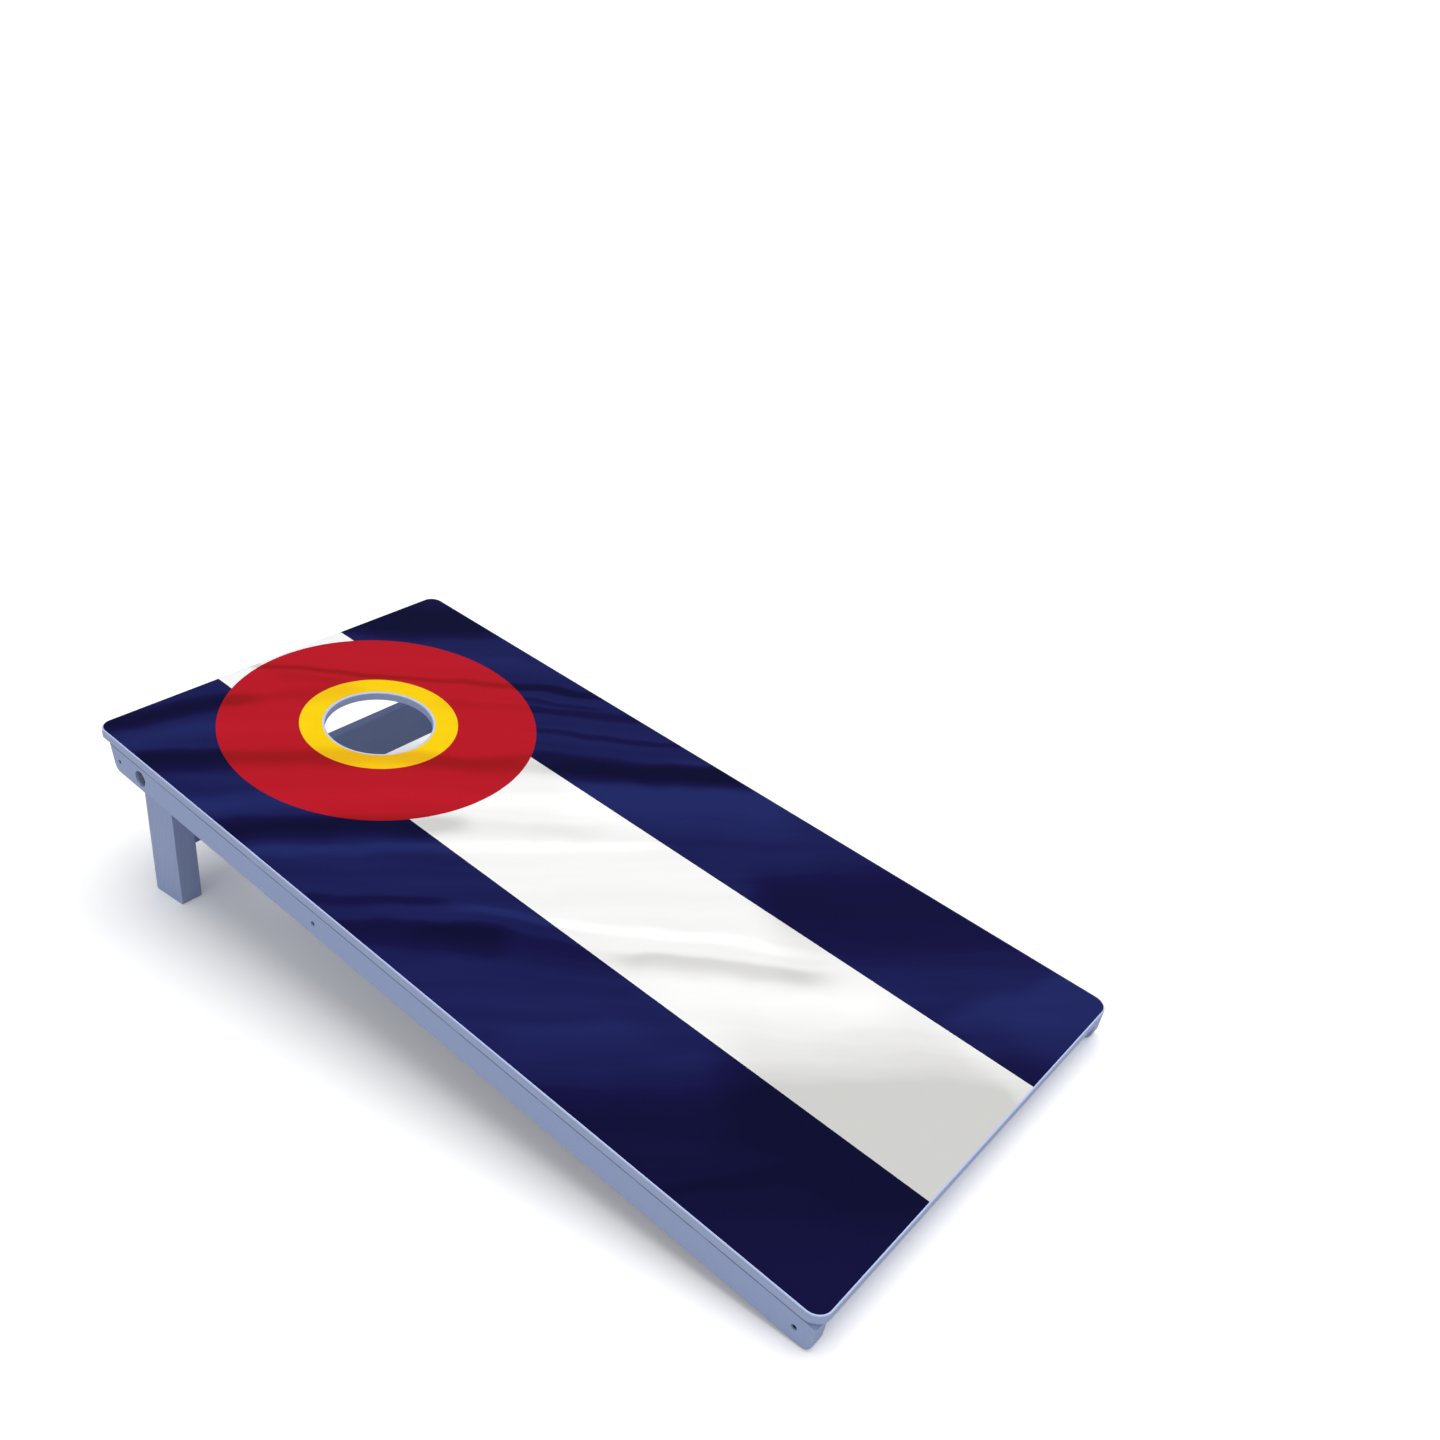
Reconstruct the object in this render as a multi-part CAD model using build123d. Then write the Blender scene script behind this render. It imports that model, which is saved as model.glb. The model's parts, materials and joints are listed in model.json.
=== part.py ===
from build123d import *
import math
import os

# A folding cornhole board: a plywood deck on a low frame, held up at the back by two legs that
# are joined by a cross board and fold forward about two bolts.
#
# Each piece is drawn on the flat board and is tilted to its playing angle when it is written.
# On the flat board x is 0 on the centre line, y runs from the front edge to the back edge, and
# z is 0 on the deck's top face, positive upwards.

INCH = 25.4

# Deck
DECK_WIDTH = 24 * INCH
DECK_LENGTH = 48 * INCH
DECK_THICK = 0.5 * INCH
DECK_CORNER = 0.75 * INCH
TOP_ROUND = 1.6
SEAM_ROUND = 0.8
HOLE_RADIUS = 3 * INCH
HOLE_FROM_BACK = 9 * INCH
HOLE_ROUND = 1.6

# Printed sheet on the deck
PRINT_THICK = 0.25
PRINT_INSET = 1.8
PRINT_HOLE_GAP = 3.5

# Frame boards
BOARD_THICK = 0.75 * INCH
BOARD_HEIGHT = 1.5 * INCH
RAIL_FRONT = 3.0
RAIL_BACK = DECK_LENGTH - 30.0
RAIL_NOSE = 12.0
RAIL_TAIL = 15.0
TAIL_SLANT = 20.0
RAIL_EDGE = 3.0
BOARD_EDGE = 1.5
FRONT_APRON_Y = 24.5
BRACE_Y = 746.0

# Playing angle, with the rails' noses and the legs' feet on the ground
TILT = 9.6

# Legs, with distances from the pivot
PIVOT_FROM_BACK = 104.0
LEG_WIDTH = 2.5 * INCH
LEG_THICK = 1.25 * INCH
LEG_LEAN = 6.6
FOLD_ANGLE = 66.0
DECK_GAP = 0.3
LEG_CORNER = 3.0
LEG_EDGE = 2.0
SPREADER_TOP = 76.0
SPREADER_BOTTOM = 146.0
DOWEL_RADIUS = 4.0
DOWEL_LENGTH = 40.0
DOWEL_PLACES = (93.0, 129.0)

# Pivot bolts, M8, with what is on them from the outside in
BOLT_RADIUS = 4.0
BOLT_LENGTH = 60.0
BOLT_TIP = 0.9
HEAD_FLATS = 13.0
HEAD_HEIGHT = 5.3
HEAD_DOME = 21.6
HEAD_DOME_DROP = 1.2
NUT_HEIGHT = 8.0
NUT_COLLAR = 2.4
NUT_COLLAR_RADIUS = 5.85
WASHER_RADIUS = 10.0
WASHER_THICK = 1.6
SPACER_RADIUS = 11.0
SIDE_PLAY = 0.1
RUNNING_GAP = 0.06
SINK_RADIUS = 11.75
SINK_DEPTH = 7.0

# Screws
SCREW_RADIUS = 2.1
SCREW_GAP = 0.1
SCREW_LENGTH = 50.0
SCREW_HEAD_RADIUS = 3.1
SCREW_HEAD_HEIGHT = 2.2
SCREW_HEAD_ROUND = 0.6
SCREW_SINK_RADIUS = 3.6
SCREW_SINK_DEPTH = 3.4
DRIVE_REACH = 2.4
DRIVE_WIDTH = 1.0
DRIVE_DEPTH = 1.0
DECK_SCREW_LENGTH = 32.0
DECK_SCREW_HEAD = 4.0
DECK_SCREW_ENDS = (70.0, 1140.0)
DECK_SCREWS_PER_RAIL = 6
CROSS_SCREW_X = (-150.0, 0.0, 150.0)

# Places that follow from the sizes above
HALF_WIDTH = DECK_WIDTH / 2
UNDERSIDE = -DECK_THICK
BOARD_BOTTOM = UNDERSIDE - BOARD_HEIGHT
BOARD_MIDDLE = UNDERSIDE - BOARD_HEIGHT / 2
RAIL_INNER = HALF_WIDTH - BOARD_THICK
HOLE_Y = DECK_LENGTH - HOLE_FROM_BACK
PIVOT_Y = DECK_LENGTH - PIVOT_FROM_BACK
HEAD_RADIUS = UNDERSIDE - BOARD_MIDDLE - DECK_GAP
LEAN = math.radians(LEG_LEAN)
FOLD = math.radians(FOLD_ANGLE)
TILTED = math.radians(TILT)
LEG_OUTER = RAIL_INNER - WASHER_THICK - SIDE_PLAY
LEG_INNER = LEG_OUTER - LEG_THICK
# The leg's square top corner swings past the rear apron as it folds.
CORNER_BACK = (LEG_WIDTH / 2 + HEAD_RADIUS * math.sin(LEAN)) / math.cos(LEAN)
REAR_APRON_Y = PIVOT_Y + math.hypot(CORNER_BACK, HEAD_RADIUS) + 1.0 + BOARD_THICK / 2
# The ground, as the depth below the origin measured square to it.
GROUND = -(
    (RAIL_FRONT + RAIL_NOSE) * math.sin(TILTED)
    + (BOARD_BOTTOM + RAIL_NOSE) * math.cos(TILTED)
    - RAIL_NOSE
)


def tilted_y(y, z, radius):
    """How far forward or back a round of this radius and centre reaches on the tilted board."""
    return y * math.cos(TILTED) - z * math.sin(TILTED) + radius


FRONT_REACH = tilted_y(TOP_ROUND, -TOP_ROUND, -TOP_ROUND)
BACK_REACH = tilted_y(DECK_LENGTH - SEAM_ROUND, UNDERSIDE + SEAM_ROUND, SEAM_ROUND)
PLACE = Pos(0, -(FRONT_REACH + BACK_REACH) / 2, GROUND) * Rot(TILT, 0, 0)


def rod(x_from, x_to, y, z, radius):
    """A cylinder along x between two values of x."""
    return Pos((x_from + x_to) / 2, y, z) * Rot(0, 90, 0) * Cylinder(radius, abs(x_to - x_from))


def hexagon(x_from, x_to, y, z, flats):
    """A hexagonal block along x, with its flats this far apart."""
    prism = extrude(RegularPolygon(flats / 2, 6, major_radius=False), amount=abs(x_to - x_from))
    return Pos(min(x_from, x_to), y, z) * Rot(0, 90, 0) * prism


def board(x_from, x_to, y_middle, z_from, z_to):
    """A straight cross board standing on edge, with its four long edges eased."""
    block = Box(x_to - x_from, BOARD_THICK, z_to - z_from)
    block = fillet(block.edges().filter_by(Axis.X), BOARD_EDGE)
    return Pos((x_from + x_to) / 2, y_middle, (z_from + z_to) / 2) * block


def side_profile(points, rounds):
    """A face in the yz plane through these (y, z) points, each corner with its own round."""
    outline = Polyline(*[(0, y, z) for y, z in points], close=True)
    face = make_face(outline)
    for (y, z), radius in zip(points, rounds):
        if radius:
            corner = min(face.vertices(), key=lambda v: math.hypot(v.Y - y, v.Z - z))
            face = fillet([corner], radius)
    return face


def side_screws(y):
    """The pair of screws that hold one cross board, one in through each rail."""
    screws = []
    for side in (-1, 1):
        seat = side * (HALF_WIDTH - SCREW_SINK_DEPTH)
        top = seat + side * SCREW_HEAD_HEIGHT
        head = rod(seat, top, y, BOARD_MIDDLE, SCREW_HEAD_RADIUS)
        rim = head.faces().sort_by(Axis.X)[-1 if side > 0 else 0].edges()
        screw = fillet(rim, SCREW_HEAD_ROUND)
        screw += rod(seat, seat - side * SCREW_LENGTH, y, BOARD_MIDDLE, SCREW_RADIUS)
        blade = Box(2 * DRIVE_DEPTH, DRIVE_WIDTH, 2 * DRIVE_REACH)
        screw -= Pos(top, y, BOARD_MIDDLE) * (blade + Rot(90, 0, 0) * blade)
        screws.append(screw)
    return screws


def screw_holes(y):
    """What one pair of side screws cuts away: a sink in each rail and a hole into the cross board."""
    holes = Part()
    for side in (-1, 1):
        outside = side * (HALF_WIDTH + 1)
        seat = side * (HALF_WIDTH - SCREW_SINK_DEPTH)
        deep = seat - side * (SCREW_LENGTH + 1)
        holes += rod(outside, seat, y, BOARD_MIDDLE, SCREW_SINK_RADIUS)
        holes += rod(outside, deep, y, BOARD_MIDDLE, SCREW_RADIUS + SCREW_GAP)
    return holes


def deck_screw_places():
    """Where the deck is screwed down: along each rail and into the cross boards."""
    first, last = DECK_SCREW_ENDS
    step = (last - first) / (DECK_SCREWS_PER_RAIL - 1)
    rail_x = HALF_WIDTH - BOARD_THICK / 2
    places = [(s * rail_x, first + i * step) for s in (-1, 1) for i in range(DECK_SCREWS_PER_RAIL)]
    places += [(x, y) for y in (FRONT_APRON_Y, BRACE_Y, REAR_APRON_Y) for x in CROSS_SCREW_X]
    return places


def deck_screw(x, y, gap):
    """A countersunk screw down through the deck, or the hole for it where there is a gap."""
    hang = (Align.CENTER, Align.CENTER, Align.MAX)
    cone_height = DECK_SCREW_HEAD - SCREW_RADIUS
    head = Cone(SCREW_RADIUS + gap, DECK_SCREW_HEAD + gap, cone_height, align=hang)
    shank = Cylinder(SCREW_RADIUS + gap, DECK_SCREW_LENGTH + gap, align=hang)
    return Pos(x, y, 0) * (head + shank)


def deck_outline(inset, thick):
    """A slab in the shape of the deck, cut back by this inset all round, with its top at z 0."""
    shape = RectangleRounded(DECK_WIDTH - 2 * inset, DECK_LENGTH - 2 * inset, DECK_CORNER - inset)
    return Pos(0, DECK_LENGTH / 2, 0) * extrude(shape, amount=-thick)


def deck_panel():
    """Plywood deck with rounded corners, a rounded top edge and the bag hole."""
    slab = deck_outline(0, DECK_THICK)
    slab = fillet(slab.faces().sort_by(Axis.Z)[-1].edges(), TOP_ROUND)
    slab = fillet(slab.faces().sort_by(Axis.Z)[0].edges(), SEAM_ROUND)
    slab -= Pos(0, HOLE_Y, 0) * Cylinder(HOLE_RADIUS, 3 * DECK_THICK)
    rim = slab.edges().filter_by(GeomType.CIRCLE)
    slab = fillet([e for e in rim if abs(e.radius - HOLE_RADIUS) < 0.01], HOLE_ROUND)
    for x, y in deck_screw_places():
        slab -= deck_screw(x, y, SCREW_GAP)
    return slab


def deck_graphic():
    """Printed vinyl sheet stuck on the deck, cut back from the edges and from the hole."""
    sheet = Pos(0, 0, PRINT_THICK) * deck_outline(PRINT_INSET, PRINT_THICK)
    return sheet - Pos(0, HOLE_Y, 0) * Cylinder(HOLE_RADIUS + PRINT_HOLE_GAP, DECK_THICK)


def frame_cuts():
    """Every screw hole that the frame boards share."""
    cuts = screw_holes(FRONT_APRON_Y) + screw_holes(BRACE_Y) + screw_holes(REAR_APRON_Y)
    for x, y in deck_screw_places():
        cuts += deck_screw(x, y, SCREW_GAP)
    return cuts


def side_rail(side, cuts):
    """Long frame board, flush with the deck's side, with a round nose and a slanted tail."""
    tail_shift = BOARD_HEIGHT * math.tan(math.radians(TAIL_SLANT))
    points = [
        (RAIL_FRONT, UNDERSIDE),
        (RAIL_FRONT, BOARD_BOTTOM),
        (RAIL_BACK - tail_shift, BOARD_BOTTOM),
        (RAIL_BACK, UNDERSIDE),
    ]
    profile = side_profile(points, (0, RAIL_NOSE, RAIL_TAIL, 0))
    rail = Pos(side * HALF_WIDTH, 0, 0) * extrude(profile, amount=BOARD_THICK, dir=(-side, 0, 0))
    outer = rail.faces().sort_by(Axis.X)[-1 if side > 0 else 0]
    low_edges = [e for e in outer.edges() if e.center().Z < UNDERSIDE - 1]
    rail = fillet(low_edges, RAIL_EDGE)
    outer = rail.faces().filter_by(Axis.X).sort_by(Axis.X)[-1 if side > 0 else 0]
    rail = chamfer(outer.edges().sort_by(Axis.Z)[-1], SEAM_ROUND)
    outside = side * (HALF_WIDTH + 1)
    rail -= rod(outside, side * (HALF_WIDTH - SINK_DEPTH), PIVOT_Y, BOARD_MIDDLE, SINK_RADIUS)
    rail -= rod(outside, side * (RAIL_INNER - 1), PIVOT_Y, BOARD_MIDDLE, BOLT_RADIUS + SCREW_GAP)
    return rail - cuts


def cross_board(y, cuts):
    """Frame board that runs between the rails."""
    return board(-RAIL_INNER, RAIL_INNER, y, BOARD_BOTTOM, UNDERSIDE) - cuts


def leg_point(along, across):
    """The (y, z) of a point down the leg from the pivot and across it towards the front edge."""
    y = PIVOT_Y - along * math.sin(LEAN) - across * math.cos(LEAN)
    z = BOARD_MIDDLE - along * math.cos(LEAN) + across * math.sin(LEAN)
    return y, z


def ground_along(across):
    """How far down the leg the ground is, on the line this far across it."""
    y, z = leg_point(0, across)
    height = y * math.sin(TILTED) + z * math.cos(TILTED) + GROUND
    return height / math.cos(TILTED - LEAN)


def leg(side):
    """Leg with a square rear top corner that bears on the deck and a cut-back front top corner.

    The cut-back face is what lies along the deck when the leg is folded. The foot is cut level
    with the ground.
    """
    half = LEG_WIDTH / 2
    top = BOARD_MIDDLE + HEAD_RADIUS
    # Where the cut-back face leaves the round head and where it meets the front edge.
    face_dot = math.cos(FOLD + LEAN - math.pi / 2)
    slope_dot = math.sin(math.pi / 2 - FOLD - LEAN)
    reach = (half - HEAD_RADIUS * face_dot) / slope_dot
    leave = (PIVOT_Y - HEAD_RADIUS * math.sin(FOLD), BOARD_MIDDLE + HEAD_RADIUS * math.cos(FOLD))
    meet = (leave[0] - reach * math.cos(FOLD), leave[1] - reach * math.sin(FOLD))
    halfway = FOLD / 2
    crown = (
        PIVOT_Y - HEAD_RADIUS * math.sin(halfway),
        BOARD_MIDDLE + HEAD_RADIUS * math.cos(halfway),
    )
    rear_top = (PIVOT_Y + CORNER_BACK, top)
    rear_foot = leg_point(ground_along(-half), -half)
    front_foot = leg_point(ground_along(half), half)

    def at(point):
        return (0, point[0], point[1])

    lines = [
        Line(at(rear_top), at((PIVOT_Y, top))),
        ThreePointArc(at((PIVOT_Y, top)), at(crown), at(leave)),
        Line(at(leave), at(meet)),
        Line(at(meet), at(front_foot)),
        Line(at(front_foot), at(rear_foot)),
        Line(at(rear_foot), at(rear_top)),
    ]
    face = make_face(Wire(lines))
    for corner in (rear_top, front_foot, rear_foot):
        vertex = min(face.vertices(), key=lambda v: math.hypot(v.Y - corner[0], v.Z - corner[1]))
        face = fillet([vertex], LEG_CORNER)
    body = Pos(side * LEG_OUTER, 0, 0) * extrude(face, amount=LEG_THICK, dir=(-side, 0, 0))
    for flat in (body.faces().sort_by(Axis.X)[0], body.faces().sort_by(Axis.X)[-1]):
        body = fillet(flat.edges(), LEG_EDGE)
    outside = side * (LEG_OUTER + 1)
    body -= rod(outside, side * (LEG_INNER - 1), PIVOT_Y, BOARD_MIDDLE, BOLT_RADIUS + RUNNING_GAP)
    for along in DOWEL_PLACES:
        y, z = leg_point(along, (BOARD_THICK - LEG_WIDTH) / 2)
        deep = side * (LEG_INNER + DOWEL_LENGTH / 2 + 1)
        body -= rod(side * (LEG_INNER - 1), deep, y, z, DOWEL_RADIUS + SCREW_GAP)
    return body


def leg_spreader():
    """Cross board between the legs, flush with their rear edges."""
    span = Box(2 * LEG_INNER, BOARD_THICK, SPREADER_BOTTOM - SPREADER_TOP)
    span = fillet(span.edges().filter_by(Axis.X), BOARD_EDGE)
    y, z = leg_point((SPREADER_TOP + SPREADER_BOTTOM) / 2, (BOARD_THICK - LEG_WIDTH) / 2)
    span = Pos(0, y, z) * Rot(-LEG_LEAN, 0, 0) * span
    for side in (-1, 1):
        for along in DOWEL_PLACES:
            y, z = leg_point(along, (BOARD_THICK - LEG_WIDTH) / 2)
            outside = side * (LEG_INNER + 1)
            deep = side * (LEG_INNER - DOWEL_LENGTH / 2 - 1)
            span -= rod(outside, deep, y, z, DOWEL_RADIUS + SCREW_GAP)
    return span


def spreader_dowels():
    """Glued dowels, two at each end of the spreader, half in the spreader and half in the leg."""
    dowels = []
    for side in (-1, 1):
        for along in DOWEL_PLACES:
            y, z = leg_point(along, (BOARD_THICK - LEG_WIDTH) / 2)
            inner = side * (LEG_INNER - DOWEL_LENGTH / 2)
            outer = side * (LEG_INNER + DOWEL_LENGTH / 2)
            dowels.append(rod(inner, outer, y, z, DOWEL_RADIUS))
    return dowels


def ring(side, x_from, radius):
    """A washer or spacer on the pivot's axis, with its inner face this far from the middle."""
    x_to = x_from + WASHER_THICK
    disc = rod(side * x_from, side * x_to, PIVOT_Y, BOARD_MIDDLE, radius)
    bore = rod(side * (x_from - 1), side * (x_to + 1), PIVOT_Y, BOARD_MIDDLE, BOLT_RADIUS + SCREW_GAP)
    return disc - bore


def pivot_pieces(side, name):
    """The bolt of one leg and what is on it, from the sunk head inwards to the lock nut."""
    bore = BOLT_RADIUS + SCREW_GAP
    seat = HALF_WIDTH - SINK_DEPTH
    head_from = seat + WASHER_THICK
    inner_from = LEG_INNER - SIDE_PLAY
    nut_from = inner_from - WASHER_THICK
    axis_at = (PIVOT_Y, BOARD_MIDDLE)

    head = hexagon(side * head_from, side * (head_from + HEAD_HEIGHT), *axis_at, HEAD_FLATS)
    dome_middle = head_from + HEAD_HEIGHT + HEAD_DOME_DROP - HEAD_DOME
    bolt = head & Pos(side * dome_middle, *axis_at) * Sphere(HEAD_DOME)
    bolt += rod(side * head_from, side * (head_from - BOLT_LENGTH), *axis_at, BOLT_RADIUS)
    tip = bolt.edges().filter_by(GeomType.CIRCLE).sort_by(Axis.X)[0 if side > 0 else -1]
    bolt = chamfer(tip, BOLT_TIP)

    flats_to = nut_from - NUT_HEIGHT + NUT_COLLAR
    nut = hexagon(side * nut_from, side * flats_to, *axis_at, HEAD_FLATS)
    nut += rod(side * nut_from, side * (nut_from - NUT_HEIGHT), *axis_at, NUT_COLLAR_RADIUS)
    nut -= rod(side * (nut_from + 1), side * (nut_from - NUT_HEIGHT - 1), *axis_at, bore)
    return {
        f"pivot_bolt_{name}": bolt,
        f"head_washer_{name}": ring(side, seat, WASHER_RADIUS),
        f"leg_spacer_{name}": ring(side, RAIL_INNER - WASHER_THICK, SPACER_RADIUS),
        f"nut_washer_{name}": ring(side, nut_from, WASHER_RADIUS),
        f"lock_nut_{name}": nut,
    }


def build():
    """Every piece by name, on the flat board."""
    cuts = frame_cuts()
    pieces = {
        "deck_panel": deck_panel(),
        "deck_graphic": deck_graphic(),
        "front_apron": cross_board(FRONT_APRON_Y, cuts),
        "centre_brace": cross_board(BRACE_Y, cuts),
        "rear_apron": cross_board(REAR_APRON_Y, cuts),
        "leg_spreader": leg_spreader(),
        "spreader_dowels": Compound(spreader_dowels()),
        "front_apron_screws": Compound(side_screws(FRONT_APRON_Y)),
        "brace_screws": Compound(side_screws(BRACE_Y)),
        "rear_apron_screws": Compound(side_screws(REAR_APRON_Y)),
        "deck_screws": Compound([deck_screw(x, y, 0) for x, y in deck_screw_places()]),
    }
    for side, name in ((-1, "left"), (1, "right")):
        pieces[f"side_rail_{name}"] = side_rail(side, cuts)
        pieces[f"leg_{name}"] = leg(side)
        pieces.update(pivot_pieces(side, name))
    return pieces


os.makedirs("parts", exist_ok=True)
for node, piece in build().items():
    export_step(PLACE * piece, f"parts/{node}.step")
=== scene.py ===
import json
import math

import bmesh
import bpy
from mathutils import Euler, Matrix, Vector


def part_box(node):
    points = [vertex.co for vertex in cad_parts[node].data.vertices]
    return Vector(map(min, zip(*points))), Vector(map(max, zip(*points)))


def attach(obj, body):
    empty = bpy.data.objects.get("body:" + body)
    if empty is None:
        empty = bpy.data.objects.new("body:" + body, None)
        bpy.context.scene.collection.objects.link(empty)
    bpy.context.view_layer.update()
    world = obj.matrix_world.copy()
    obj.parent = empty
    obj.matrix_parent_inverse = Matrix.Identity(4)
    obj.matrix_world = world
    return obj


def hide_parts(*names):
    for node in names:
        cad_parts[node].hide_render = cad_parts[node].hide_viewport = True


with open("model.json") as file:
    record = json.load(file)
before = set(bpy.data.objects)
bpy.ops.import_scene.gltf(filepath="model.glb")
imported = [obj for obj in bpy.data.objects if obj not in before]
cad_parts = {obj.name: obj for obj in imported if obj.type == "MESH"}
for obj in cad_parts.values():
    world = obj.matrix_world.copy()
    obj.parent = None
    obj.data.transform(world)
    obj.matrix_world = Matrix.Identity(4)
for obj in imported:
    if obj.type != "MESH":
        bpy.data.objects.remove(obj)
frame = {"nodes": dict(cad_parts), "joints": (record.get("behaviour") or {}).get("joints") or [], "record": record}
bpy.context.view_layer.update()


# ---- Side rails ---------------------------------------------------------------------------------
# Two long pine boards on edge, with a round nose in front and a slanted tail behind. They are
# primed and rolled with satin paint, pale blue-grey, which lets a little of the grain through.
# Screws through each rail hold the three cross boards, and the deck is screwed down on top.

# The board's own directions, and the low left corner of its deck, worked out from the bag hole.
bag_hole = [m for m in frame["record"]["mounts"] if m["name"] == "bag_hole"][0]
DECK_THICK = 0.0127
HOLE_ACROSS = 0.3048
HOLE_UP = 0.9906
ACROSS_BOARD = Vector((1, 0, 0))
OFF_DECK = Vector(bag_hole["axis"]).normalized()
UP_BOARD = OFF_DECK.cross(ACROSS_BOARD)
HOLE_TOP = Vector(bag_hole["pos_m"]) + DECK_THICK / 2 * OFF_DECK
DECK_CORNER = HOLE_TOP - HOLE_ACROSS * ACROSS_BOARD - HOLE_UP * UP_BOARD


def new_group(name, takes, gives):
    group = bpy.data.node_groups.new(name, "ShaderNodeTree")
    for label, kind, value in takes:
        socket = group.interface.new_socket(label, in_out="INPUT", socket_type="NodeSocket" + kind)
        socket.default_value = value
    for label, kind in gives:
        group.interface.new_socket(label, in_out="OUTPUT", socket_type="NodeSocket" + kind)
    way_in = group.nodes.new("NodeGroupInput")
    way_out = group.nodes.new("NodeGroupOutput")
    return group, way_in.outputs, way_out.inputs


def wire(tree, source, socket):
    """Link a socket to this one, or set this one to a plain value."""
    if isinstance(source, bpy.types.NodeSocket):
        tree.links.new(source, socket)
    else:
        socket.default_value = source


def use_group(tree, group, **values):
    node = tree.nodes.new("ShaderNodeGroup")
    node.node_tree = group
    for label, value in values.items():
        wire(tree, value, node.inputs[label.replace("_", " ")])
    return node.outputs


def maths(tree, job, *values):
    node = tree.nodes.new("ShaderNodeMath")
    node.operation = job
    for value, socket in zip(values, node.inputs):
        wire(tree, value, socket)
    return node.outputs[0]


def vectors(tree, job, *values):
    node = tree.nodes.new("ShaderNodeVectorMath")
    node.operation = job
    for value, socket in zip(values, node.inputs):
        wire(tree, value, socket)
    return node.outputs["Value" if job in ("DOT_PRODUCT", "LENGTH") else "Vector"]


def scaled(tree, vector, factor):
    node = tree.nodes.new("ShaderNodeVectorMath")
    node.operation = "SCALE"
    wire(tree, vector, node.inputs["Vector"])
    wire(tree, factor, node.inputs["Scale"])
    return node.outputs["Vector"]


def noise(tree, place, scale, detail=3.0, rough=0.5, output="Fac"):
    node = tree.nodes.new("ShaderNodeTexNoise")
    wire(tree, place, node.inputs["Vector"])
    wire(tree, scale, node.inputs["Scale"])
    node.inputs["Detail"].default_value = detail
    node.inputs["Roughness"].default_value = rough
    return node.outputs[output]


def ramped(tree, value, low, high, new_low=0.0, new_high=1.0, curve="SMOOTHSTEP"):
    node = tree.nodes.new("ShaderNodeMapRange")
    node.interpolation_type = curve
    for number, socket in zip((value, low, high, new_low, new_high), node.inputs):
        wire(tree, number, socket)
    return node.outputs["Result"]


def mixed(tree, amount, first, second):
    """Two colours mixed: the first where the amount is 0, the second where it is 1."""
    node = tree.nodes.new("ShaderNodeMix")
    node.data_type = "RGBA"
    wire(tree, amount, node.inputs[0])
    wire(tree, first, node.inputs[6])
    wire(tree, second, node.inputs[7])
    return node.outputs[2]


def new_material(name):
    material = bpy.data.materials.new(name)
    material.use_nodes = True
    return material, material.node_tree, material.node_tree.nodes["Principled BSDF"]


def bumped(tree, shader, height, strength, distance):
    bump = tree.nodes.new("ShaderNodeBump")
    bump.inputs["Strength"].default_value = strength
    bump.inputs["Distance"].default_value = distance
    wire(tree, height, bump.inputs["Height"])
    wire(tree, bump.outputs[0], shader.inputs["Normal"])


def tinted(colour, red, green, blue):
    """The colour with each channel multiplied, none past 1, and with full opacity."""
    return (min(colour[0] * red, 1), min(colour[1] * green, 1), min(colour[2] * blue, 1), 1)


# Turns a place on the model into the board's own directions: x along it, y across it, z through.
lay_out, given, result = new_group(
    "board directions",
    [("Corner", "Vector", (0, 0, 0)), ("Along", "Vector", (1, 0, 0)), ("Across", "Vector", (0, 1, 0))],
    [("Place", "Vector")],
)
seen_at = lay_out.nodes.new("ShaderNodeTexCoord").outputs["Object"]
from_corner = vectors(lay_out, "SUBTRACT", seen_at, given["Corner"])
through = vectors(lay_out, "CROSS_PRODUCT", given["Along"], given["Across"])
joined = lay_out.nodes.new("ShaderNodeCombineXYZ")
wire(lay_out, vectors(lay_out, "DOT_PRODUCT", from_corner, given["Along"]), joined.inputs[0])
wire(lay_out, vectors(lay_out, "DOT_PRODUCT", from_corner, given["Across"]), joined.inputs[1])
wire(lay_out, vectors(lay_out, "DOT_PRODUCT", from_corner, through), joined.inputs[2])
wire(lay_out, joined.outputs[0], result["Place"])

# Softwood grain: slow wavering growth rings and short fibres, both drawn out along the board.
wood_grain, given, result = new_group(
    "wood grain",
    [("Place", "Vector", (0, 0, 0)), ("Ring Width", "Float", 0.006), ("Waver", "Float", 0.5)],
    [("Rings", "Float"), ("Fibres", "Float")],
)
drawn_out = vectors(wood_grain, "MULTIPLY", given["Place"], (0.05, 1.0, 1.0))
drift = noise(wood_grain, drawn_out, 26.0, 2.0)
parts = wood_grain.nodes.new("ShaderNodeSeparateXYZ")
wire(wood_grain, drawn_out, parts.inputs[0])
heart = maths(wood_grain, "MULTIPLY_ADD", parts.outputs[2], 0.55, parts.outputs[1])
heart = maths(wood_grain, "MULTIPLY_ADD", parts.outputs[0], 0.35, heart)
ring_count = maths(wood_grain, "DIVIDE", heart, given["Ring Width"])
waver = maths(wood_grain, "MULTIPLY", drift, maths(wood_grain, "MULTIPLY", given["Waver"], 7.0))
FULL_TURN = 6.283
ring_turns = maths(wood_grain, "ADD", ring_count, waver)
swing = maths(wood_grain, "SINE", maths(wood_grain, "MULTIPLY", ring_turns, FULL_TURN))
wire(wood_grain, ramped(wood_grain, swing, -0.9, 1.0), result["Rings"])
short_fibres = vectors(wood_grain, "MULTIPLY", given["Place"], (0.06, 1.0, 1.0))
wire(wood_grain, noise(wood_grain, short_fibres, 900.0, 4.0, 0.65), result["Fibres"])

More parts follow.
